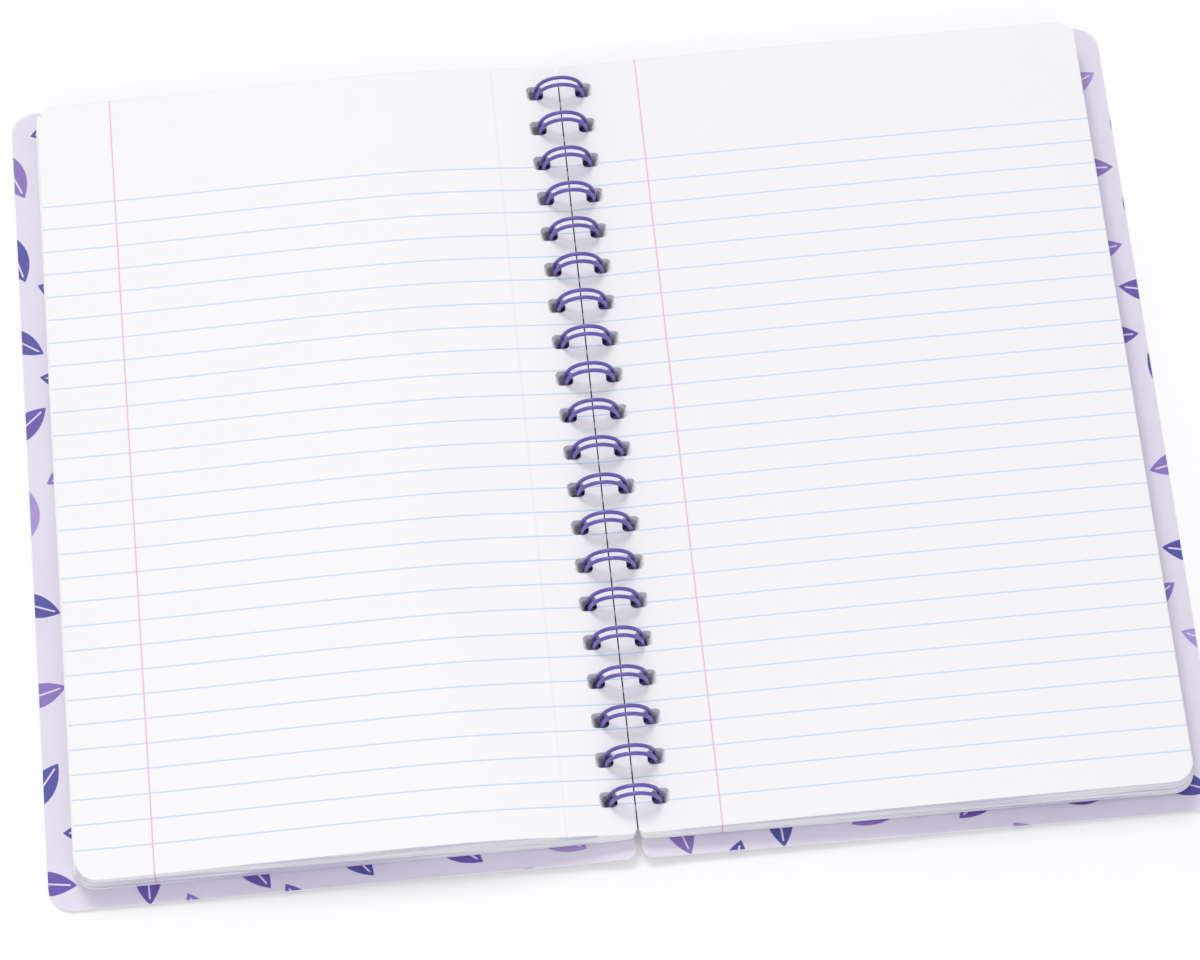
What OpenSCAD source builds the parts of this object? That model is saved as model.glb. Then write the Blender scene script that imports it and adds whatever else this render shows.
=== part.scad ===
// Open notebook bound with a twin-loop wire, lying on a table with both covers folded out.
// X runs across the spread, +Y to the head of the pages, Z up, and Z = 0 is the table.

/* [Binding] */
// Distance from one double loop to the next along the spine
loop_pitch = 12.7; // [10:0.1:14.3]
// Least distance from the middle of an end loop to the end of the leaf
loop_end = 8; // [7:0.5:12]
// Radius of a closed loop, to the middle of the wire
ring_r = 7.27; // [6.8:0.01:9]
// Diameter of the coated wire
wire_d = 1.2; // [0.8:0.05:1.4]
// Distance between the two wires of a loop
wire_gap = 2.6; // [2.2:0.1:3.4]
// Radius of the bend from a loop into the spine bar
bend_r = 1.3; // [0.9:0.05:1.5]
// Angle from the lowest point of the ring to the start of the root bend
root_angle = 10; // [8:1:16]
// Angle from the lowest point of the ring to the start of the closed tip
tip_angle = 16; // [15:1:24]
// How much the pressed tip is thicker than the wire, on its radius
tip_swell = 0.03; // [0.02:0.01:0.06]
// How far the middle of the row of loops lies above the middle of the covers
row_mid = 2.1; // [0:0.1:3]

/* [Leaves] */
// Height of a leaf from head to foot
leaf_h = 261.5; // [150:0.5:300]
// Distance from the spine to the fore edge of the top leaf
leaf_w = 164.3; // [140:0.1:200]
// How far the middle of the leaves lies above the middle of the covers
leaf_mid = 1.3; // [0:0.1:2.5]
// How much further out the bottom leaf lies than the top one
leaf_splay = 1.2; // [0.4:0.1:2]
// Width of the gap between the two stacks at the top leaves
gutter_gap = 0.6; // [0.5:0.1:1.5]
// How much further from the spine the bottom leaf of a stack starts than the top one
gutter_spread = 0.7; // [0.6:0.1:1.5]
// Corner radius of the leaves at the fore edge
leaf_corner = 6.5; // [3:0.5:12]
// Corner radius of the leaves at the spine
leaf_inner_corner = 2; // [1:0.1:3]
// How far the turned stack crowns above its height at the spine
turned_crown = 4.8; // [2:0.1:5]
// Distance from the spine to the crown of the turned stack
crown_x = 56; // [45:1:90]
// Thickness of the turned stack at the fore edge
turned_edge = 8.3; // [6:0.1:9.5]
// Thickness of the unturned stack at the fore edge, with its top leaves a little lifted
unturned_edge = 10.3; // [7:0.1:11.5]
// How far the lowest unturned leaves curl up from the cover at the fore edge
unturned_curl = 1; // [0:0.1:1.5]

/* [Holes] */
// Width of a punched square hole
hole_w = 5.3; // [5:0.1:5.8]
// Corner radius of a hole
hole_corner = 1.5; // [0.5:0.1:2]
// Angle by which the holes of a stack lean, as its leaves follow the ring
hole_lean = 12; // [8:1:16]

/* [Covers] */
// Thickness of the laminated card
cover_t = 0.6; // [0.4:0.1:1.2]
// Distance that a cover reaches past the leaves at the fore edge
cover_reach = 8.9; // [3:0.1:12]
// Distance that a cover reaches past the leaves at each end, with the leaves in its middle
cover_overhang = 4.4; // [3:0.1:8]
// Width of the gap between the two covers at the spine
cover_gap = 1.9; // [1.5:0.1:3]
// Height of a cover's underside at the spine
spine_lift = 2.5; // [2.3:0.1:3.2]
// Distance from the spine to the crease, where a cover bends just beyond its holes
crease_x = 14; // [11:0.5:25]
// Height of a cover's underside at the crease
crease_lift = 1.7; // [1:0.1:2.2]
// Corner radius of the covers at the fore edge
cover_corner = 7.5; // [4:0.5:14]
// Corner radius of the covers at the spine
cover_inner_corner = 3; // [1:0.5:4]

/* [Fits] */
// Clearance between a cover and the stack on it
stack_gap = 0.2; // [0.1:0.05:0.4]
// How far the leaves at the spine stay below the middle of the ring
half_gap = 0.2; // [0.1:0.05:0.5]
// Clearance between the wire and the inner side of a cover's hole
hole_gap = 0.35; // [0.3:0.05:0.6]

/* [Hidden] */
$fn = 64;

wire_r = wire_d / 2;
wire_y = wire_gap / 2;
ring_z = ring_r * cos(root_angle) + bend_r * sin(root_angle) + wire_r;
loop_count = floor((leaf_h - 2 * loop_end) / loop_pitch) + 1;
row_y = row_mid + loop_pitch * (loop_count - 1) / 2;
bar_l = loop_pitch - 2 * (wire_y + bend_r);
tip_lap = 4;

cover_x = leaf_w + cover_reach;
cover_h = leaf_h + 2 * cover_overhang;
cover_inner_x = cover_gap / 2;

leaf_in = gutter_gap / 2;
leaf_low_in = leaf_in + gutter_spread;
leaf_top_z = ring_z - half_gap;
stack_z = 30;
edge_steps = 24;

// Height of a cover's underside at a distance from the spine, on either side of the crease
function cover_low(x) = x > crease_x
    ? crease_lift * (cover_x - x) / (cover_x - crease_x)
    : crease_lift + (spine_lift - crease_lift) * (crease_x - x) / (crease_x - cover_inner_x);

function cover_top(x) = cover_low(x) + cover_t;

// Distance from the spine to the middle of the wire at a height, on the ring's lower half
function wire_x(z) = sqrt(pow(ring_r, 2) - pow(z - ring_z, 2));

// Smooth step from 0 to 1
function ease(t) = (1 - cos(180 * t)) / 2;

// Upper face of the turned stack: a quick rise to the crown, then a soft fall to the fore edge
function turned_top(x) = x < crown_x
    ? leaf_top_z + turned_crown * pow(sin(90 * (x - leaf_in) / (crown_x - leaf_in)), 1.3)
    : let (edge_z = cover_top(leaf_w) + turned_edge)
      leaf_top_z + turned_crown
      - (leaf_top_z + turned_crown - edge_z) * ease((x - crown_x) / (leaf_w - crown_x));

// Upper face of the unturned stack: a steady climb that levels out at the fore edge
function unturned_top(x) = let (edge_z = cover_top(leaf_w) + unturned_edge)
    leaf_top_z + (edge_z - leaf_top_z) * sin(90 * (x - leaf_in) / (leaf_w - leaf_in));

page_hole_x = wire_x(leaf_top_z);
cover_hole_r = ring_r - wire_r - hole_gap;
cover_hole_in = sqrt(pow(cover_hole_r, 2) - pow(ring_z - cover_low(wire_x(spine_lift)), 2));
cover_hole_x = cover_hole_in + hole_w / 2;

// Arc of round wire about Z, from one angle over another, angle 0 at +X
module wire_arc(start, sweep, radius, thick = wire_r) {
    rotate([0, 0, start])
        rotate_extrude(angle = sweep)
            translate([radius, 0])
                circle(thick);
}

// Moves to a point of the ring: there X points outward and Z along the wire
module on_ring(angle) {
    translate([0, 0, ring_z])
        rotate([0, -angle, 0])
            translate([ring_r, 0, 0])
                children();
}

// The long round part of one of a loop's two wires, from its root bend to its tip
module ring_arc() {
    on_ring(root_angle - 90)
        translate([-ring_r, wire_y, 0])
            rotate([90, 0, 0])
                wire_arc(0, 360 - root_angle - tip_angle, ring_r);
}

// Bend from the loop's wire into its half of the spine bar
module root_bend() {
    on_ring(root_angle - 90)
        translate([0, wire_y + bend_r, 0]) {
            rotate([0, 90, 0]) wire_arc(-90, 90, bend_r);
            translate([0, 0, -bend_r])
                rotate([-90, 0, 0])
                    cylinder(h = bar_l / 2, r = wire_r);
        }
}

// Closed tip that joins the two wires of a loop and laps their ends a little
module loop_tip() {
    on_ring(270 - tip_angle)
        rotate([0, 90, 0])
            wire_arc(90 - tip_lap, 180 + 2 * tip_lap, wire_y, wire_r + tip_swell);
}

// One double loop with its two root bends and its closed tip
module double_loop() {
    for (side = [0, 1])
        mirror([0, side, 0]) {
            ring_arc();
            root_bend();
        }
    loop_tip();
}

// One continuous wire: neighbouring loops meet at the middle of the spine bar between them
module twin_loop_wire() {
    color([0.43, 0.35, 0.70])
        for (i = [0 : loop_count - 1])
            translate([0, row_y - i * loop_pitch, 0]) double_loop();
}

// Rectangle from x0 to x1, centred on Y, with its own corner radius at each end
module sheet_outline(x0, x1, height, inner_r, outer_r) {
    translate([x0, -height / 2 + inner_r]) square([inner_r, height - 2 * inner_r]);
    translate([x0 + inner_r, -height / 2]) square([x1 - x0 - inner_r - outer_r, height]);
    translate([x1 - outer_r, -height / 2 + outer_r]) square([outer_r, height - 2 * outer_r]);
    for (end = [-1, 1]) {
        translate([x0 + inner_r, end * (height / 2 - inner_r)]) circle(inner_r);
        translate([x1 - outer_r, end * (height / 2 - outer_r)]) circle(outer_r);
    }
}

module punched_hole() {
    flat = hole_w - 2 * hole_corner;
    square([hole_w, flat], center = true);
    square([flat, hole_w], center = true);
    for (side = [-1, 1], end = [-1, 1])
        translate([side * flat / 2, end * flat / 2]) circle(hole_corner);
}

module hole_row(x) {
    for (i = [0 : loop_count - 1])
        translate([x, row_y - i * loop_pitch]) punched_hole();
}

// Stack of leaves on the +X side: a profile across the spine, cut to the leaf's outline
module leaf_stack(top_points, curl) {
    outer_x = leaf_w + leaf_splay;
    profile = concat(
        [[leaf_low_in, cover_top(leaf_low_in) + stack_gap]],
        [[crease_x, cover_top(crease_x) + stack_gap]],
        [[outer_x, cover_top(outer_x) + stack_gap + curl]],
        top_points
    );
    difference() {
        intersection() {
            translate([0, leaf_mid + leaf_h / 2, 0])
                rotate([90, 0, 0])
                    linear_extrude(leaf_h) polygon(profile);
            translate([0, leaf_mid, 0])
                linear_extrude(stack_z)
                    sheet_outline(leaf_in, outer_x, leaf_h, leaf_inner_corner, leaf_corner);
        }
        translate([page_hole_x, 0, leaf_top_z])
            rotate([0, hole_lean, 0])
                translate([0, 0, -stack_z])
                    linear_extrude(2 * stack_z) hole_row(0);
    }
}

// Distances from the spine at which a stack's upper face is worked out, fore edge first
function edge_xs() = [for (i = [edge_steps : -1 : 0]) leaf_in + (leaf_w - leaf_in) * i / edge_steps];

// Cover on the +X side, sloping from the spine down to the table with a crease near its holes
module cover_plate() {
    bend_xs = [cover_inner_x, crease_x, cover_x];
    profile = concat(
        [for (x = bend_xs) [x, cover_low(x)]],
        [for (i = [2, 1, 0]) [bend_xs[i], cover_top(bend_xs[i])]]
    );
    difference() {
        intersection() {
            translate([0, cover_h / 2, 0])
                rotate([90, 0, 0])
                    linear_extrude(cover_h) polygon(profile);
            linear_extrude(stack_z)
                sheet_outline(cover_inner_x, cover_x, cover_h, cover_inner_corner, cover_corner);
        }
        linear_extrude(stack_z) hole_row(cover_hole_x);
    }
}

module front_cover() {
    color([0.80, 0.68, 0.86])
        mirror([1, 0, 0]) cover_plate();
}

module turned_pages() {
    color([0.97, 0.97, 0.98])
        mirror([1, 0, 0]) leaf_stack([for (x = edge_xs()) [x, turned_top(x)]], 0);
}

module unturned_pages() {
    color([0.94, 0.94, 0.97])
        leaf_stack([for (x = edge_xs()) [x, unturned_top(x)]], unturned_curl);
}

module back_cover() {
    color([0.80, 0.68, 0.86]) cover_plate();
}

twin_loop_wire();
front_cover();
turned_pages();
unturned_pages();
back_cover();
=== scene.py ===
import math
import random

import bpy
from mathutils import Matrix, Vector


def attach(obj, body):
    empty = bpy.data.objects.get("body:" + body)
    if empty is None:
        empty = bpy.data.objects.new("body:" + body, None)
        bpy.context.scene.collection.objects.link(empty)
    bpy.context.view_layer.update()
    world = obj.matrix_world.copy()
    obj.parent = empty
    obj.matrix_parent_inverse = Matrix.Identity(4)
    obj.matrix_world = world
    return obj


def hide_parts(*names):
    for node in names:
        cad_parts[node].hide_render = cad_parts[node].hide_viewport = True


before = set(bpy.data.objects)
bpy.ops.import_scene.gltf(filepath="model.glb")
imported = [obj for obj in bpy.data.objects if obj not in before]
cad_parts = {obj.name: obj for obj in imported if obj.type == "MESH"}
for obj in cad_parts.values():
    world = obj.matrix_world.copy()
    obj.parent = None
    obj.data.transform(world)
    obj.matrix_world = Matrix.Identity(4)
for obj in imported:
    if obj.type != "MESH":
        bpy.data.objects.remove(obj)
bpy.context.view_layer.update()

MM = 0.001

# The binding, as in the part's source
PITCH = 12.7
LOOPS = 20
RING_R = 7.27
RING_Z = 7.985
ROW_MID = 2.1
ROW_Y = ROW_MID + PITCH * (LOOPS - 1) / 2

# A leaf's plan: x counts from the spine to the fore edge, and the lower leaves of a stack
# reach further out and start further out
LEAF_H = 261.5
LEAF_W = 164.3
LEAF_MID = 1.3
HEAD_Y = LEAF_MID + LEAF_H / 2
FOOT_Y = LEAF_MID - LEAF_H / 2
SPLAY = 1.2
SPLAY_POWER = 0.8
LEAF_IN = 0.2
GUTTER_SPREAD = 0.7
FORE_CORNER = 6.5
SPINE_CORNER = 2.0

# The punched holes, and how far the mesh around them reaches to either side
HOLE_W = 5.3
HOLE_CORNER = 1.5
HOLE_LEAN = math.radians(17)
HOLE_SHIFT = 0.35
HOLE_BORDER_IN = 0.6
HOLE_BORDER_OUT = 1.6

# The stacks: how many leaves, how far bundles and single leaves lie apart, and a leaf's share
# of its room, which is larger near the spine, where the leaves are pressed, up to LOOSE_X
LEAVES = 44
BUNDLES = 9
BUNDLE_SPREAD = 0.25
TOP_BUNDLE_SHIFT = 0.45
LEAF_SPREAD = 0.08
HEIGHT_SPREAD = 0.2
LOOSE_SHARE = 0.72
PRESSED_SHARE = 0.94
LOOSE_X = 24.0

# The stacks' height and bow
LEAF_TOP_Z = RING_Z - 0.2
CROWN = 4.8
CROWN_X = 56.0
CROWN_POWER = 1.3
TURNED_EDGE = 8.3
TURNED_LIFT = 0.5
TURNED_LIFT_X = 95
TURNED_LIFT_REACH = 35
UNTURNED_EDGE = 10.3
UNTURNED_CURL = 1.0
UNTURNED_LIFT = 1.2
STACK_GAP = 0.2
WAVE_HEIGHT = 0.1

# How finely a leaf is meshed. The top leaves of a stack have rounder holes.
FIELD_STEPS = 30
FORE_STEPS = 9
SPINE_STEPS = 6
HOLE_STEPS = 3
TOP_HOLE_STEPS = 6
TOP_LEAVES = 3
NEAR = 1e-4

# The covers
COVER_T = 0.6
COVER_X = 173.2
COVER_INNER_X = 0.95
CREASE_X = 14.0
CREASE_LIFT = 1.7
SPINE_LIFT = 2.5

# The floor: the share that glows white to the camera, its strength at the foot and head side,
# and the strips below the holes of the two stacks, where it doesn't glow
GLOW_SHARE = 0.2
GLOW_STRENGTH = (1.15, 1.4)
GLOW_Y = (-0.14, 0.17)
HOLE_STRIP = (2.0, 12.0)

# The ruling
LINE_STEP = 8.0
FIRST_LINE_Y = 96.09
LINE_COUNT = 28
LINE_HALF = 0.2
MARGIN_HALF = 0.2
RIGHT_MARGIN_X = 24.8
LEFT_MARGIN_X = -141.5
GHOST_X = -21.0
GHOST_HALF = 0.3
OFF_PAGE_X = 400.0

# The print on the covers: flat leaves on a grid
PRINT_CELL = 30.0
PRINT_HALF_LENGTH = 10.0
PRINT_HALF_WIDTH = 4.2
PRINT_RIB_HALF = 0.28
PRINT_RIB_REACH = 0.8

# The camera, fitted to the photo: the image is 1200 by 960
IMAGE_W = 1200
IMAGE_H = 960
FOCAL_PX = 4738.4
CAMERA_ELEVATION = math.radians(63.93)
CAMERA_TURN = math.radians(5.75)
CAMERA_ROLL = math.radians(-0.28)
CAMERA_DISTANCE = 1.4507
ROW_PIXEL = (595.5, 444.65)
SENSOR_WIDTH = 36.0

# The floor sheet, in metres
SWEEP_HALF = 4.0
SWEEP_DROP = 0.0002


class Sheet:
    """Places nodes in a tree and joins them in one call each."""

    def __init__(self, tree):
        self.tree = tree

    def node(self, kind, inputs=None, **settings):
        made = self.tree.nodes.new(kind)
        for key, value in settings.items():
            setattr(made, key, value)
        for key, value in (inputs or {}).items():
            self.feed(made.inputs[key], value)
        return made

    def feed(self, socket, value):
        if isinstance(value, bpy.types.NodeSocket):
            self.tree.links.new(value, socket)
        else:
            socket.default_value = value

    def math(self, operation, a, b=0.0, c=0.0, clamp=False):
        made = self.node("ShaderNodeMath", {0: a, 1: b, 2: c}, operation=operation, use_clamp=clamp)
        return made.outputs[0]

    def vector(self, operation, a, b):
        """Vector maths of two vectors, or of a vector and a number where it scales."""
        second = 3 if operation == "SCALE" else 1
        return self.node("ShaderNodeVectorMath", {0: a, second: b}, operation=operation).outputs[0]

    def xyz(self, vector):
        return self.node("ShaderNodeSeparateXYZ", {0: vector}).outputs

    def noise(self, place, scale, detail, roughness=0.5):
        """Noise from 0 to 1."""
        return self.node("ShaderNodeTexNoise", {
            "Vector": place, "Scale": scale, "Detail": detail, "Roughness": roughness}).outputs["Fac"]

    def mix(self, mask, a, b, blend="MIX"):
        made = self.node("ShaderNodeMix", data_type="RGBA", blend_type=blend)
        self.feed(made.inputs[0], mask)
        self.feed(made.inputs[6], a)
        self.feed(made.inputs[7], b)
        return made.outputs[2]

    def below(self, value, edge, soft):
        """1 where value is below edge, 0 above it, with a soft step between."""
        made = self.node("ShaderNodeMapRange", interpolation_type="SMOOTHSTEP")
        self.feed(made.inputs["Value"], value)
        for key, amount in (("From Min", -soft), ("From Max", soft), ("To Min", 1.0), ("To Max", 0.0)):
            made.inputs[key].default_value = amount
        if isinstance(edge, bpy.types.NodeSocket) or edge:
            self.feed(made.inputs["Value"], self.math("SUBTRACT", value, edge))
        return made.outputs[0]

    def cut_edge(self, normal):
        """1 on faces that stand upright in the object's own space, 0 on flat ones."""
        return self.below(self.math("ABSOLUTE", self.xyz(normal)[2]), 0.5, 0.1)


def new_material(name):
    """An empty material and the sheet of its nodes."""
    mat = bpy.data.materials.new(name)
    mat.use_nodes = True
    mat.node_tree.nodes.clear()
    return mat, Sheet(mat.node_tree)


def new_group(name, inputs, outputs):
    """A node group with sockets given as (name, kind, default)."""
    tree = bpy.data.node_groups.new(name, "ShaderNodeTree")
    for title, kind, value in inputs:
        socket = tree.interface.new_socket(title, in_out="INPUT", socket_type=kind)
        if value is not None:
            socket.default_value = value
    for title, kind in outputs:
        tree.interface.new_socket(title, in_out="OUTPUT", socket_type=kind)
    return tree, Sheet(tree), tree.nodes.new("NodeGroupInput"), tree.nodes.new("NodeGroupOutput")


COLOR = "NodeSocketColor"
FLOAT = "NodeSocketFloat"
VECTOR = "NodeSocketVector"


def rgb(r, g, b):
    """A colour given as it shows on screen, 0 to 255, as the renderer's linear values."""
    def linear(v):
        v = v / 255
        return v / 12.92 if v <= 0.04045 else ((v + 0.055) / 1.055) ** 2.4
    return (linear(r), linear(g), linear(b), 1.0)


def paper_fibre_group():
    """Fine fibre of uncoated paper: a tint, a height and a roughness."""
    tree, s, given, out = new_group(
        "paper_fibre",
        [("Color", COLOR, (1, 1, 1, 1)), ("Strength", FLOAT, 1.0)],
        [("Color", COLOR), ("Height", FLOAT), ("Roughness", FLOAT)])
    place = s.node("ShaderNodeTexCoord").outputs["Object"]
    cloud = s.noise(place, 55.0, 4.0, 0.6)
    fibre = s.noise(place, 1900.0, 5.0, 0.7)
    shade = s.math("MULTIPLY_ADD", cloud, 0.018, 0.984)
    shade = s.math("MULTIPLY", shade, s.math("MULTIPLY_ADD", fibre, 0.02, 0.99))
    blue = s.math("MULTIPLY_ADD", shade, 0.8, 0.2)
    tint = s.node("ShaderNodeCombineColor", {0: shade, 1: shade, 2: blue}).outputs[0]
    tone = s.mix(given.outputs["Strength"], (1, 1, 1, 1), tint)
    s.feed(out.inputs["Color"], s.mix(1.0, given.outputs["Color"], tone, "MULTIPLY"))
    s.feed(out.inputs["Height"], fibre)
    s.feed(out.inputs["Roughness"], s.math("MULTIPLY_ADD", fibre, 0.12, 0.58))
    return tree


def painted_edge_shade_group():
    """Painted shade: fine darker lilac streaks along the cut edges of stacked leaves, standing in for the
    shade in the gaps between them, none on flat faces or in the holes.
    """
    tree, s, given, out = new_group(
        "painted_edge_shade",
        [("Color", COLOR, (1, 1, 1, 1)), ("Painted Shade Color", COLOR, (1, 1, 1, 1)), ("Strength", FLOAT, 0.9)],
        [("Color", COLOR)])
    coords = s.node("ShaderNodeTexCoord")
    cut = s.cut_edge(coords.outputs["Normal"])
    long_way = s.vector("MULTIPLY", coords.outputs["Object"], (14, 14, 560))
    # Painted shade: where the stretched noise is high, a cut edge takes the darker lilac colour that stands
    # for the shade between the leaves
    amount = s.math("MULTIPLY_ADD", s.noise(long_way, 1.0, 2.5, 0.65), 6.5, -2.9, clamp=True)
    off_spine = s.math("ABSOLUTE", s.xyz(coords.outputs["Object"])[0])
    past_holes = s.math("SUBTRACT", 1.0, s.below(off_spine, HOLE_STRIP[1] * MM, MM))
    amount = s.math("MULTIPLY", amount, s.math("MULTIPLY", cut, given.outputs["Strength"]))
    amount = s.math("MULTIPLY", amount, past_holes)
    s.feed(out.inputs["Color"], s.mix(amount, given.outputs["Color"], given.outputs["Painted Shade Color"]))
    return tree


def ruling_group():
    """Blue lines a step apart, a pink margin line and a faint second one."""
    tree, s, given, out = new_group(
        "ruling",
        [("Color", COLOR, (1, 1, 1, 1)), ("Margin X", FLOAT, 0.0), ("Ghost X", FLOAT, 0.0),
         ("Lines", FLOAT, 1.0)],
        [("Color", COLOR)])
    place = s.node("ShaderNodeTexCoord").outputs["Object"]
    x, y = (s.math("MULTIPLY", way, 1 / MM) for way in s.xyz(place)[:2])
    ink = s.math("MULTIPLY_ADD", s.noise(place, 900.0, 3.0), 0.5, 0.72, clamp=True)

    down = s.math("DIVIDE", s.math("SUBTRACT", FIRST_LINE_Y, y), LINE_STEP)
    nearest = s.math("ROUND", down)
    off_line = s.math("MULTIPLY", s.math("ABSOLUTE", s.math("SUBTRACT", down, nearest)), LINE_STEP)
    line = s.below(off_line, LINE_HALF, 0.1)
    first = s.math("GREATER_THAN", nearest, -0.5)
    last = s.math("LESS_THAN", nearest, LINE_COUNT - 0.5)
    line = s.math("MULTIPLY", line, s.math("MULTIPLY", first, last))
    line = s.math("MULTIPLY", line, s.math("MULTIPLY", ink, given.outputs["Lines"]))
    color = s.mix(line, given.outputs["Color"], rgb(202, 214, 240))

    off_ghost = s.math("ABSOLUTE", s.math("SUBTRACT", x, given.outputs["Ghost X"]))
    ghost = s.below(off_ghost, GHOST_HALF, 0.2)
    color = s.mix(s.math("MULTIPLY", ghost, 0.22), color, rgb(240, 205, 225))
    off_margin = s.math("ABSOLUTE", s.math("SUBTRACT", x, given.outputs["Margin X"]))
    margin = s.below(off_margin, MARGIN_HALF, 0.1)
    color = s.mix(s.math("MULTIPLY", margin, ink), color, rgb(241, 180, 218))
    s.feed(out.inputs["Color"], color)
    return tree


def ramp(s, value, colors):
    """One of several colours, each for an equal part of the way from 0 to 1."""
    made = s.node("ShaderNodeValToRGB", {0: value})
    made.color_ramp.interpolation = "CONSTANT"
    stops = made.color_ramp.elements
    while len(stops) < len(colors):
        stops.new(1.0)
    for i, color in enumerate(colors):
        stops[i].position = i / len(colors)
        stops[i].color = color
    return made.outputs[0]


def printed_leaf_group():
    """Repeats one plain flat leaf over a grid, each copy turned, sized and tinted by its cell."""
    tree, s, given, out = new_group(
        "printed_leaf",
        [("Under", COLOR, (1, 1, 1, 1)), ("Place", VECTOR, None), ("Shift", VECTOR, None),
         ("Cell", FLOAT, PRINT_CELL), ("Half Length", FLOAT, PRINT_HALF_LENGTH),
         ("Half Width", FLOAT, PRINT_HALF_WIDTH)],
        [("Color", COLOR)])
    one_over = s.math("DIVIDE", 1.0, given.outputs["Cell"])
    grid = s.vector("ADD", s.vector("SCALE", given.outputs["Place"], one_over), given.outputs["Shift"])
    cell = s.node("ShaderNodeVectorMath", {0: grid}, operation="FLOOR").outputs[0]
    seed = s.vector("ADD", cell, given.outputs["Shift"])
    chance = s.node("ShaderNodeTexWhiteNoise", {"Vector": seed}, noise_dimensions="3D")
    pick, turn, size = s.node("ShaderNodeSeparateColor", {0: chance.outputs["Color"]}).outputs
    local = s.vector("SUBTRACT", s.vector("SUBTRACT", grid, cell), (0.5, 0.5, 0.0))
    local = s.vector("SCALE", local, given.outputs["Cell"])
    local = s.node("ShaderNodeVectorRotate", {"Vector": local, "Angle": s.math("MULTIPLY", turn, math.tau)},
                   rotation_type="Z_AXIS").outputs[0]
    local = s.vector("SCALE", local, s.math("MULTIPLY_ADD", size, 0.15, 1.0))
    along, across = s.xyz(local)[:2]
    across = s.math("ABSOLUTE", across)
    run = s.math("DIVIDE", s.math("ABSOLUTE", along), given.outputs["Half Length"])
    bulge = s.math("MULTIPLY_ADD", s.math("MULTIPLY", run, run), -1.0, 1.0)
    edge = s.math("SUBTRACT", across, s.math("MULTIPLY", given.outputs["Half Width"], bulge))
    fill = s.below(edge, 0.0, 0.12)
    rib = s.math("MULTIPLY", s.below(across, PRINT_RIB_HALF, 0.1), s.below(run, PRINT_RIB_REACH, 0.03))
    tints = [rgb(112, 92, 176), rgb(142, 122, 194), rgb(92, 88, 166), rgb(168, 150, 210)]
    paint = ramp(s, pick, tints)
    paint = s.mix(rib, paint, rgb(226, 220, 238))
    s.feed(out.inputs["Color"], s.mix(fill, given.outputs["Under"], paint))
    return tree


PAPER_FIBRE = paper_fibre_group()
PAINTED_EDGE_SHADE = painted_edge_shade_group()
RULING = ruling_group()
PRINTED_LEAF = printed_leaf_group()


def finish_principled(mat, s, color, roughness, height, bump_strength, bump_distance, specular,
                      coat=0.0, coat_roughness=0.1):
    """Closes a material with a Principled BSDF, a bump and the output."""
    shader = s.node("ShaderNodeBsdfPrincipled")
    s.feed(shader.inputs["Base Color"], color)
    s.feed(shader.inputs["Roughness"], roughness)
    shader.inputs["Specular IOR Level"].default_value = specular
    shader.inputs["Coat Weight"].default_value = coat
    shader.inputs["Coat Roughness"].default_value = coat_roughness
    bump = s.node("ShaderNodeBump", {"Height": height})
    bump.inputs["Strength"].default_value = bump_strength
    bump.inputs["Distance"].default_value = bump_distance
    s.feed(shader.inputs["Normal"], bump.outputs[0])
    out = s.node("ShaderNodeOutputMaterial")
    s.feed(out.inputs["Surface"], shader.outputs[0])
    return mat


def paper_material(name, tint, margin_x, ghost_x, ruled):
    """Uncoated white paper with a margin line, with ruled lines where ruled is 1, and painted shade as darker
    lilac streaks on the cut edges.
    """
    mat, s = new_material(name)
    lines = s.node("ShaderNodeGroup", {
        "Color": tint, "Margin X": margin_x, "Ghost X": ghost_x, "Lines": ruled}, node_tree=RULING)
    # Painted shade: darker lilac streaks on the cut edges stand in for the shade between stacked leaves
    streaks = s.node("ShaderNodeGroup", {
        "Color": lines.outputs[0], "Painted Shade Color": rgb(178, 168, 206)}, node_tree=PAINTED_EDGE_SHADE)
    fibre = s.node("ShaderNodeGroup", {"Color": streaks.outputs[0]}, node_tree=PAPER_FIBRE)
    return finish_principled(mat, s, fibre.outputs["Color"], fibre.outputs["Roughness"],
                             fibre.outputs["Height"], 0.08, 0.00005, specular=0.25)


def print_material(name, start):
    """Laminated card with a plain print of flat leaves on a pale ground."""
    mat, s = new_material(name)
    coords = s.node("ShaderNodeTexCoord")
    place = coords.outputs["Object"]
    in_plane = s.vector("MULTIPLY", s.vector("SCALE", place, 1 / MM), (1, 1, 0))
    color = s.mix(s.noise(in_plane, 0.1, 4.0), rgb(232, 228, 241), rgb(224, 218, 236))
    for offset in (0.0, 0.5):
        color = s.node("ShaderNodeGroup", {
            "Under": color, "Place": in_plane, "Shift": (start[0] + offset, start[1] + offset, 0.0)},
            node_tree=PRINTED_LEAF).outputs[0]
    color = s.mix(s.cut_edge(coords.outputs["Normal"]), color, rgb(238, 237, 240))
    grain = s.noise(place, 1400.0, 3.0)
    roughness = s.math("MULTIPLY_ADD", grain, 0.1, 0.34)
    return finish_principled(mat, s, color, roughness, grain, 0.05, 0.00004, specular=0.12)


def wire_material():
    """Steel wire in a smooth purple coat."""
    mat, s = new_material("coated_wire")
    place = s.node("ShaderNodeTexCoord").outputs["Object"]
    cloud = s.noise(place, 260.0, 3.0)
    fine = s.noise(place, 2600.0, 3.0)
    color = s.mix(cloud, rgb(66, 44, 158), rgb(86, 64, 178))
    roughness = s.math("MULTIPLY_ADD", cloud, 0.12, 0.3)
    return finish_principled(mat, s, color, roughness, fine, 0.05, 0.00003, specular=0.9,
                             coat=1.0, coat_roughness=0.34)


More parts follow.
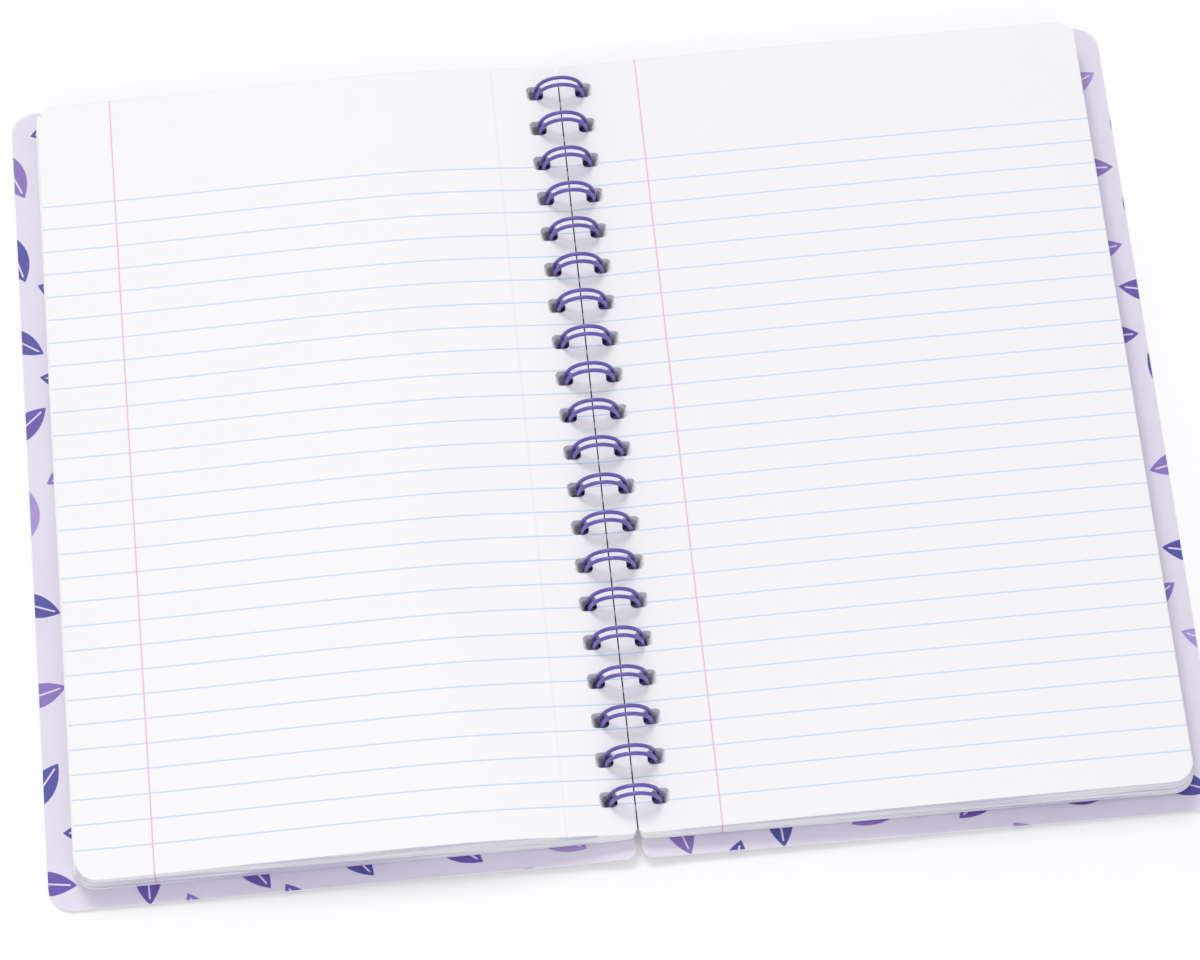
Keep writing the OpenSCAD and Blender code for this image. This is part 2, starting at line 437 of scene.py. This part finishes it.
def floor_material():
    """White sweep that keeps the shadow and shows white to the camera."""
    mat, s = new_material("white_sweep")
    diffuse = s.node("ShaderNodeBsdfDiffuse", {"Color": rgb(246, 246, 248)})
    place = s.node("ShaderNodeTexCoord").outputs["Object"]
    x, y = s.xyz(place)[:2]
    rise = s.node("ShaderNodeMapRange", {"Value": y, "From Min": GLOW_Y[0], "From Max": GLOW_Y[1],
                                         "To Min": GLOW_STRENGTH[0], "To Max": GLOW_STRENGTH[1]})
    glow = s.node("ShaderNodeEmission", {"Color": (1, 1, 1, 1), "Strength": rise.outputs[0]})
    off_row = s.math("ABSOLUTE", s.math("SUBTRACT", y, LEAF_MID * MM))
    off_spine = s.math("ABSOLUTE", x)
    strip = s.math("SUBTRACT", s.below(off_spine, HOLE_STRIP[1] * MM, MM),
                   s.math("MULTIPLY", s.below(off_spine, HOLE_STRIP[0] * MM, MM), 0.8))
    under = s.math("MULTIPLY", strip, s.below(off_row, LEAF_H / 2 * MM, MM))
    rays = s.node("ShaderNodeLightPath")
    seen = s.math("MAXIMUM", rays.outputs["Is Camera Ray"], rays.outputs["Is Glossy Ray"])
    share = s.math("MULTIPLY", seen, s.math("MULTIPLY_ADD", under, -GLOW_SHARE, GLOW_SHARE))
    mixed = s.node("ShaderNodeMixShader", {0: share, 1: diffuse.outputs[0], 2: glow.outputs[0]})
    out = s.node("ShaderNodeOutputMaterial")
    s.feed(out.inputs["Surface"], mixed.outputs[0])
    return mat


def cover_top(x):
    """Height of a cover's upper face at a distance from the spine, in mm."""
    if x > CREASE_X:
        return COVER_T + CREASE_LIFT * (COVER_X - x) / (COVER_X - CREASE_X)
    climb = (CREASE_X - x) / (CREASE_X - COVER_INNER_X)
    return COVER_T + CREASE_LIFT + (SPINE_LIFT - CREASE_LIFT) * climb


def turned_top(x):
    """Height of the turned stack's upper face, in mm."""
    if x < CROWN_X:
        rise = max(0.0, (x - LEAF_IN) / (CROWN_X - LEAF_IN))
        return LEAF_TOP_Z + CROWN * math.sin(math.pi / 2 * rise) ** CROWN_POWER
    edge_z = cover_top(LEAF_W) + TURNED_EDGE
    fall = min(1.0, (x - CROWN_X) / (LEAF_W - CROWN_X))
    return LEAF_TOP_Z + CROWN - (LEAF_TOP_Z + CROWN - edge_z) * (1 - math.cos(math.pi * fall)) / 2


def unturned_top(x):
    """Height of the unturned stack's upper face, in mm."""
    edge_z = cover_top(LEAF_W) + UNTURNED_EDGE
    climb = min(1.0, max(0.0, (x - LEAF_IN) / (LEAF_W - LEAF_IN)))
    return LEAF_TOP_Z + (edge_z - LEAF_TOP_Z) * math.sin(math.pi / 2 * climb)


def turned_lift(x):
    """How far the turned stack's top leaf stands off the next one, in mm."""
    return TURNED_LIFT * math.exp(-((x - TURNED_LIFT_X) / TURNED_LIFT_REACH) ** 2)


def unturned_lift(x):
    """How far the unturned stack's top leaf stands off the next one, in mm."""
    return UNTURNED_LIFT * (max(0.0, x) / LEAF_W) ** 2


def near(a, b):
    return abs(a - b) < NEAR


def hole_outline(corner_steps):
    """Points of a punched hole about its centre, in mm, anticlockwise from +X."""
    flat = HOLE_W / 2 - HOLE_CORNER
    points = []
    for quarter in range(4):
        corner_x, corner_y = ((flat, flat), (-flat, flat), (-flat, -flat), (flat, -flat))[quarter]
        for step in range(corner_steps + 1):
            angle = math.pi / 2 * (quarter + step / corner_steps)
            points.append((corner_x + HOLE_CORNER * math.cos(angle),
                           corner_y + HOLE_CORNER * math.sin(angle)))
    return points


class LeafBuilder:
    """Makes one leaf at a time as a closed thin solid and gathers them in one mesh."""

    def __init__(self, side, top_of, lift, curl, seed):
        self.side = side
        self.top_of = top_of
        self.lift = lift
        self.curl = curl
        self.draw = random.Random(seed)
        self.phase = self.draw.uniform(0, math.tau)
        self.bundle_shift = [self.draw.uniform(-BUNDLE_SPREAD, BUNDLE_SPREAD) for i in range(BUNDLES)]
        self.bundle_shift[-1] = TOP_BUNDLE_SHIFT
        self.verts = []
        self.faces = []
        self.face_kinds = []

    def bed(self, x):
        """Height at which the stack starts above its cover."""
        return cover_top(x) + STACK_GAP + self.curl * min(1.0, max(0.0, x / LEAF_W)) ** 2

    def thickness(self, x):
        """Thickness of one modelled leaf, a share of the room that it has in the stack."""
        loose = min(1.0, max(0.0, x / LOOSE_X - 0.5) * 2)
        share = PRESSED_SHARE + (LOOSE_SHARE - PRESSED_SHARE) * loose
        return share * (self.top_of(x) - self.bed(x)) / LEAVES

    def settle(self, share):
        """Height of a leaf as a function of x, y, where share is 0 at the cover and 1 on top."""
        top = share >= 1
        drift = 4 * share * (1 - share)

        def height(x, y):
            reach = min(1.0, max(0.0, x / LEAF_W))
            low = self.bed(x)
            high = self.top_of(x) - self.thickness(x) - (0 if top else self.lift(x))
            wave = math.sin(math.tau * (3.5 * share + 0.5 * math.sin(x / 41 + self.phase) + x / 97 + y / 700))
            return low + (high - low) * share + WAVE_HEIGHT * drift * reach * wave
        return height

    def add_leaf(self, share, corner_steps, rows, kind):
        """Adds a leaf whose plan has the hole row, both corner radii and the fore edge."""
        draw = self.draw
        top = share >= 1
        height = self.settle(share)
        bundle = self.bundle_shift[min(BUNDLES - 1, int(share * BUNDLES))]
        shift_y = 0.0 if top else bundle + draw.uniform(-LEAF_SPREAD, LEAF_SPREAD)
        shift_x = 0.0 if top else 0.5 * bundle + draw.uniform(-LEAF_SPREAD, LEAF_SPREAD)
        outer = LEAF_W + SPLAY * (1 - share) ** SPLAY_POWER + shift_x
        inner = LEAF_IN + GUTTER_SPREAD * (1 - share)
        spine_corner = SPINE_CORNER - (inner - LEAF_IN)
        ends = {1: HEAD_Y, -1: FOOT_Y}
        hole_z = height(RING_R, 0)
        hole_x = RING_R + HOLE_SHIFT - (LEAF_TOP_Z - hole_z) * math.tan(HOLE_LEAN)
        if not top:
            hole_x += draw.uniform(-LEAF_SPREAD, LEAF_SPREAD)
        strip = hole_x - HOLE_W / 2 - HOLE_BORDER_IN
        field = hole_x + HOLE_W / 2 + HOLE_BORDER_OUT
        outline = hole_outline(corner_steps)
        count = len(outline)
        base = len(self.verts)
        plan = []
        index = {}

        def point(x, y):
            key = (round(x, 5), round(y, 5))
            if key not in index:
                index[key] = len(plan)
                plan.append((x, y))
            return index[key]

        # A cell round each hole, joined to its outline
        polygons = []
        half_w = (field - strip) / 2
        mid_x = (field + strip) / 2
        half_p = PITCH / 2
        frame_points = []
        for px, py in outline:
            scale = min(half_w / max(abs(px), 1e-6), half_p / max(abs(py), 1e-6))
            frame_points.append((px * scale, py * scale))
        corners = [(half_w, half_p), (-half_w, half_p), (-half_w, -half_p), (half_w, -half_p)]
        cell_ends = {-half_p, half_p}
        left_ys = sorted({round(py, 5) for px, py in frame_points if near(px, -half_w)} | cell_ends)
        right_ys = sorted({round(py, 5) for px, py in frame_points if near(px, half_w)} | cell_ends)
        cell_xs = sorted({round(px, 5) for px, py in frame_points if near(abs(py), half_p)}
                         | {-half_w, half_w})
        for loop in range(LOOPS):
            cy = ROW_Y - loop * PITCH
            ring = [point(hole_x + px, cy + py) for px, py in outline]
            outer_ring = [point(mid_x + px, cy + py) for px, py in frame_points]
            for k in range(count):
                after = (k + 1) % count
                quad = [ring[k], outer_ring[k], outer_ring[after], ring[after]]
                a = frame_points[k]
                b = frame_points[after]
                for corner_x, corner_y in corners:
                    a_x, a_y = near(a[0], corner_x), near(a[1], corner_y)
                    b_x, b_y = near(b[0], corner_x), near(b[1], corner_y)
                    at_corner = (a_x and a_y) or (b_x and b_y)
                    if not at_corner and ((a_x and b_y) or (a_y and b_x)):
                        quad.insert(2, point(mid_x + corner_x, cy + corner_y))
                polygons.append(quad)

        # From the first and last cell to the head and the foot
        for end in (-1, 1):
            end_y = ROW_MID + end * (ROW_Y - ROW_MID + half_p)
            for a, b in zip(cell_xs, cell_xs[1:]):
                quad = [point(mid_x + a, end_y), point(mid_x + b, end_y),
                        point(mid_x + b, ends[end]), point(mid_x + a, ends[end])]
                polygons.append(quad if end > 0 else quad[::-1])

        # The strip on the spine's side, with its rounded corners
        strip_ys = [ROW_Y - loop * PITCH + y for loop in range(LOOPS) for y in left_ys]
        strip_ys = sorted({round(y, 5) for y in strip_ys} | {FOOT_Y, HEAD_Y})
        strip_poly = [point(strip, y) for y in strip_ys]
        for end in (1, -1):
            arc = []
            for step in range(SPINE_STEPS + 1):
                angle = math.pi / 2 * step / SPINE_STEPS
                arc.append((inner + spine_corner - spine_corner * math.sin(angle),
                            ends[end] + end * spine_corner * (math.cos(angle) - 1)))
            arc = arc if end > 0 else arc[::-1]
            strip_poly += [point(x, y) for x, y in arc]
        polygons.append(strip_poly)

        # The field, in columns up to the rounded corners of the fore edge
        row_ys = [FOOT_Y, HEAD_Y]
        if rows:
            row_ys = sorted(set(row_ys) | {round(ROW_Y + half_p - k * PITCH, 5) for k in range(LOOPS + 1)})
        start = outer - FORE_CORNER
        columns = [field]
        columns += [field + (start - field) * k / FIELD_STEPS for k in range(1, FIELD_STEPS + 1)]
        columns += [start + FORE_CORNER * math.sin(math.pi / 2 * k / FORE_STEPS)
                    for k in range(1, FORE_STEPS + 1)]

        def corner_cut(x):
            over = max(0.0, x - start)
            return FORE_CORNER - math.sqrt(max(0.0, FORE_CORNER ** 2 - over ** 2))

        field_ys = [ROW_Y - loop * PITCH + y for loop in range(LOOPS) for y in right_ys]
        field_ys = sorted({round(y, 5) for y in field_ys})
        for xa, xb in zip(columns, columns[1:]):
            cut_a = corner_cut(xa)
            cut_b = corner_cut(xb)
            for low, high in zip(row_ys, row_ys[1:]):
                a_low = max(FOOT_Y + cut_a, low)
                a_high = min(HEAD_Y - cut_a, high)
                b_low = max(FOOT_Y + cut_b, low)
                b_high = min(HEAD_Y - cut_b, high)
                if xa == field:
                    seam = [y for y in field_ys if a_low + NEAR < y < a_high - NEAR]
                    poly = [point(xa, y) for y in [a_high] + seam[::-1] + [a_low]]
                else:
                    poly = [point(xa, a_high), point(xa, a_low)]
                poly += [point(xb, b_low), point(xb, b_high)]
                polygons.append(poly)

        # Both faces of the leaf, and a wall along each edge that only one polygon has
        size = len(plan)
        for layer in (0, 1):
            for x, y in plan:
                z = height(x, y) + layer * self.thickness(x)
                self.verts.append((self.side * x * MM, (y + shift_y) * MM, z * MM))
        edges = {}
        for poly in polygons:
            sides = list(zip(poly, poly[1:] + poly[:1]))
            area = sum(plan[a][0] * plan[b][1] - plan[b][0] * plan[a][1] for a, b in sides)
            poly = poly if area > 0 else poly[::-1]
            if len(set(poly)) < 3:
                continue
            for edge in zip(poly, poly[1:] + poly[:1]):
                edges[edge] = True
            self.put([base + size + p for p in poly], kind)
            self.put([base + p for p in poly[::-1]], 1)
        for a, b in edges:
            if (b, a) not in edges:
                self.put([base + a, base + b, base + size + b, base + size + a], 1)

    def put(self, face, kind):
        self.faces.append(face if self.side > 0 else face[::-1])
        self.face_kinds.append(kind)

    def make(self, name, materials):
        mesh = bpy.data.meshes.new(name)
        mesh.from_pydata(self.verts, [], self.faces)
        for mat in materials:
            mesh.materials.append(mat)
        mesh.polygons.foreach_set("material_index", self.face_kinds)
        mesh.update()
        obj = bpy.data.objects.new(name, mesh)
        bpy.context.scene.collection.objects.link(obj)
        return obj


def leaf_stack(name, side, top_of, lift, curl, seed, materials, node):
    """A stack of separate thin leaves in the space of its node."""
    builder = LeafBuilder(side, top_of, lift, curl, seed)
    for i in range(LEAVES):
        last = i == LEAVES - 1
        spread = 0.0 if last else builder.draw.uniform(-HEIGHT_SPREAD, HEIGHT_SPREAD) / LEAVES
        share = 1.0 if last else max(0.0, i / (LEAVES - 1) + spread)
        corner_steps = TOP_HOLE_STEPS if i >= LEAVES - TOP_LEAVES else HOLE_STEPS
        builder.add_leaf(share, corner_steps, last, 0 if last else 1)
    stack = builder.make(name, materials)
    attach(stack, node)
    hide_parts(node)


def place_camera():
    """The camera at the photo's viewing angle, from the fitted turn, elevation and distance."""
    c, s = math.cos(CAMERA_TURN), math.sin(CAMERA_TURN)
    ce, se = math.cos(CAMERA_ELEVATION), math.sin(CAMERA_ELEVATION)
    turn = Matrix(((c, -s, 0), (s, c, 0), (0, 0, 1)))
    roll = Matrix.Rotation(CAMERA_ROLL, 3, "Z")
    axes = roll @ Matrix(((1, 0, 0), (0, se, ce), (0, ce, -se))) @ turn
    right, up, ahead = axes[0], axes[1], axes[2]
    u = (ROW_PIXEL[0] - IMAGE_W / 2) / FOCAL_PX * CAMERA_DISTANCE
    v = -(ROW_PIXEL[1] - IMAGE_H / 2) / FOCAL_PX * CAMERA_DISTANCE
    spot = Vector((0, ROW_MID * MM, 0)) - (right * u + up * v + ahead * CAMERA_DISTANCE)
    data = bpy.data.cameras.new("camera")
    data.sensor_width = SENSOR_WIDTH
    data.lens = FOCAL_PX / IMAGE_W * data.sensor_width
    data.clip_start = 0.05
    data.clip_end = 20
    cam = bpy.data.objects.new("camera", data)
    cam.matrix_world = Matrix((
        (right.x, up.x, -ahead.x, spot.x),
        (right.y, up.y, -ahead.y, spot.y),
        (right.z, up.z, -ahead.z, spot.z),
        (0, 0, 0, 1)))
    bpy.context.scene.collection.objects.link(cam)
    bpy.context.scene.camera = cam


def area_light(name, place, size, power, color):
    data = bpy.data.lights.new(name, "AREA")
    data.shape = "RECTANGLE"
    data.size = size[0]
    data.size_y = size[1]
    data.energy = power
    data.color = color
    lamp = bpy.data.objects.new(name, data)
    lamp.location = place
    lamp.rotation_euler = (-Vector(place)).to_track_quat("-Z", "Y").to_euler()
    bpy.context.scene.collection.objects.link(lamp)


def light_studio():
    """A white surround, a large soft box above and behind the spine and a weak low fill."""
    world = bpy.data.worlds.new("studio")
    world.use_nodes = True
    tree = world.node_tree
    tree.nodes.clear()
    s = Sheet(tree)
    rays = s.node("ShaderNodeLightPath")
    light = s.node("ShaderNodeBackground", {"Color": (0.97, 0.96, 1.0, 1), "Strength": 0.66})
    seen = s.node("ShaderNodeBackground", {"Color": (1, 1, 1, 1), "Strength": 1.0})
    mixed = s.node("ShaderNodeMixShader", {0: rays.outputs["Is Camera Ray"], 1: light.outputs[0],
                                           2: seen.outputs[0]})
    out = s.node("ShaderNodeOutputWorld")
    s.feed(out.inputs["Surface"], mixed.outputs[0])
    bpy.context.scene.world = world
    area_light("soft_box", (-0.4, 1.45, 2.2), (1.1, 0.8), 25.5, (1.0, 1.0, 0.93))
    area_light("front_fill", (0.0, -0.7, 0.5), (1.2, 0.4), 1.5, (1.0, 1.0, 0.98))


def place_floor():
    """One large flat sheet just below the covers."""
    mesh = bpy.data.meshes.new("sweep")
    corners = [(x * SWEEP_HALF, y * SWEEP_HALF, 0) for x, y in ((-1, -1), (1, -1), (1, 1), (-1, 1))]
    mesh.from_pydata(corners, [], [(0, 1, 2, 3)])
    mesh.materials.append(floor_material())
    obj = bpy.data.objects.new("sweep", mesh)
    obj.location.z = -SWEEP_DROP
    bpy.context.scene.collection.objects.link(obj)


def dress(node, mat):
    """Gives a CAD node its finish."""
    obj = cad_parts[node]
    obj.data.materials.clear()
    obj.data.materials.append(mat)


PAPER = rgb(247, 247, 249)
# Painted shade: the right pages get the same paper colour a little darker than the left ones
SHADED_RIGHT_PAPER = rgb(244, 244, 247)

place_camera()
light_studio()
place_floor()

dress("twin_loop_wire", wire_material())
dress("front_cover", print_material("front_print", (20.3, 11.7)))
dress("back_cover", print_material("back_print", (7.6, 31.2)))

left_ruled = paper_material("left_page", PAPER, LEFT_MARGIN_X, GHOST_X, 1.0)
left_plain = paper_material("left_leaves", PAPER, LEFT_MARGIN_X, OFF_PAGE_X, 0.0)
right_ruled = paper_material("right_page", SHADED_RIGHT_PAPER, RIGHT_MARGIN_X, OFF_PAGE_X, 1.0)
right_plain = paper_material("right_leaves", SHADED_RIGHT_PAPER, RIGHT_MARGIN_X, OFF_PAGE_X, 0.0)
leaf_stack("turned_leaves", -1, turned_top, turned_lift, 0.0, 5,
           [left_ruled, left_plain], "turned_pages")
leaf_stack("unturned_leaves", 1, unturned_top, unturned_lift, UNTURNED_CURL, 9,
           [right_ruled, right_plain], "unturned_pages")

bpy.context.scene.view_settings.view_transform = "Standard"
